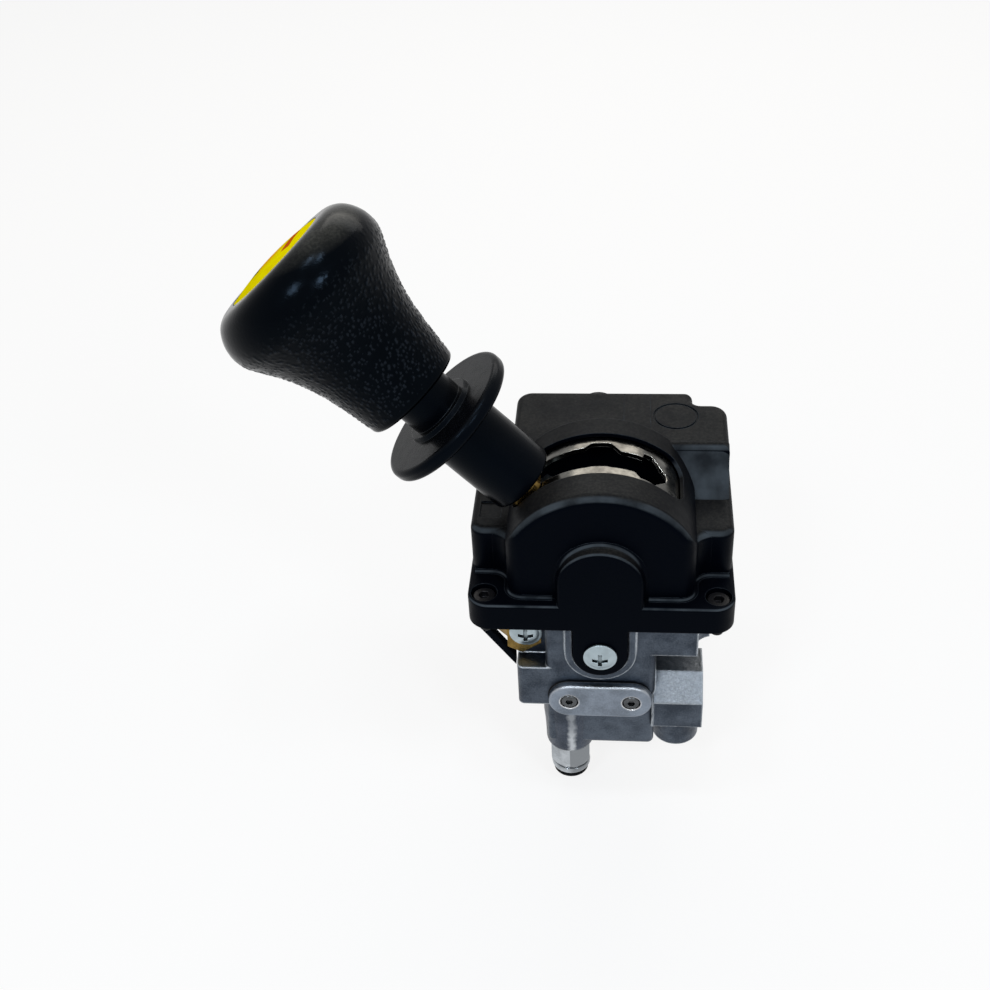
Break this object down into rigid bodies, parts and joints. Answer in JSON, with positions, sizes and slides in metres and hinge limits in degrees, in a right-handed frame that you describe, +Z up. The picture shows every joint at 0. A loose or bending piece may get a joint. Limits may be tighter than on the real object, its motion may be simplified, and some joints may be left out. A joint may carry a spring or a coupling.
{
  "type": "tipper control valve",
  "caption": "Cab-mounted air valve for a tipper: leaning lever with a grained knob and a lift collar, a gated dome cover, and a cast valve body with ports and fittings below the flange.",
  "frame": {"origin": "centre of the four mounting screws, on the underside of the cover's flange", "axes": "+Z up out of the flange towards the lever, +Y to the back, +X to the right; the lever swings in the XZ direction"},
  "size_m": [0.1459, 0.0779, 0.2013],
  "materials": {
    "cover_plastic": "fine grain, satin",
    "knob_plastic": "coarse grain with a polished crown",
    "collar_plastic": "smooth satin",
    "label_yellow": "printed film",
    "cast_aluminium": "die cast",
    "plate_aluminium": "die cast",
    "gate_steel": "pressed, bright",
    "cam_steel": "machined",
    "zinc_yellow": "yellow zinc plated",
    "screw_steel": "zinc plated",
    "screw_black": "black oxide",
    "spring_steel": "drawn wire",
    "brass": "turned",
    "fitting_nickel": "nickel plated",
    "sintered_bronze": "sintered, matt",
    "seal_rubber": "moulded",
    "ring_plastic": "moulded"
  },
  "bodies": {
    "housing": {"cover": "cover_plastic", "gate_plate": "gate_steel", "gate_screws": "screw_steel", "pivot_pin": "cam_steel", "pin_clips": "spring_steel", "valve_body": "cast_aluminium", "cover_screws": "screw_steel", "side_bracket": "zinc_yellow", "mounting_screws": "screw_black", "end_plate": "plate_aluminium", "end_plate_gasket": "seal_rubber", "end_plate_screws": "screw_steel", "guide_bushes": "brass", "stem_seals": "seal_rubber", "chamber_plugs": "brass", "plug_seals": "seal_rubber", "outlet_fitting": "fitting_nickel", "supply_fitting": "fitting_nickel", "silencer": "sintered_bronze", "return_spring_left": "spring_steel", "return_spring_right": "spring_steel"},
    "lever": {"cam": "cam_steel", "lever_rod": "cam_steel", "rod_nut": "screw_steel", "knob": "knob_plastic", "knob_insert": "brass", "knob_label": "label_yellow", "collar_spring": "spring_steel"},
    "collar": {"lock_collar": "collar_plastic", "latch_plate": "zinc_yellow"},
    "left_plunger": {"plunger_left": "cam_steel", "poppet_left": "brass"},
    "right_plunger": {"plunger_right": "cam_steel", "poppet_right": "brass"},
    "outlet_ring": {"outlet_release_ring": "ring_plastic"},
    "supply_ring": {"supply_release_ring": "ring_plastic"}
  },
  "joints": [
    {"name": "lever_swing", "type": "hinge", "parent": "housing", "child": "lever", "pos_m": [0, -0.012, 0.0175], "axis": [0, 1, 0], "range_deg": [0, 76]},
    {"name": "collar_lift", "type": "slide", "parent": "lever", "child": "collar", "axis": [-0.6845, 0, 0.729], "range_m": [0, 0.008], "stiffness_N_per_m": 600, "springref_m": -0.008, "deforming": ["collar_spring"]},
    {"name": "left_plunger_slide", "type": "slide", "parent": "housing", "child": "left_plunger", "axis": [0, 0, 1], "range_m": [0, 0.004], "deforming": ["return_spring_left"]},
    {"name": "right_plunger_slide", "type": "slide", "parent": "housing", "child": "right_plunger", "axis": [0, 0, 1], "range_m": [-0.004, 0], "deforming": ["return_spring_right"]},
    {"name": "outlet_ring_press", "type": "slide", "parent": "housing", "child": "outlet_ring", "axis": [0, 0, 1], "range_m": [0, 0.0009]},
    {"name": "supply_ring_press", "type": "slide", "parent": "housing", "child": "supply_ring", "axis": [0, -1, 0], "range_m": [0, 0.0009]}
  ],
  "couplings": [
    {"joint": "left_plunger_slide", "follows": "lever_swing", "m_per_rad": 0.0030155},
    {"joint": "right_plunger_slide", "follows": "lever_swing", "m_per_rad": -0.0030155}
  ]
}
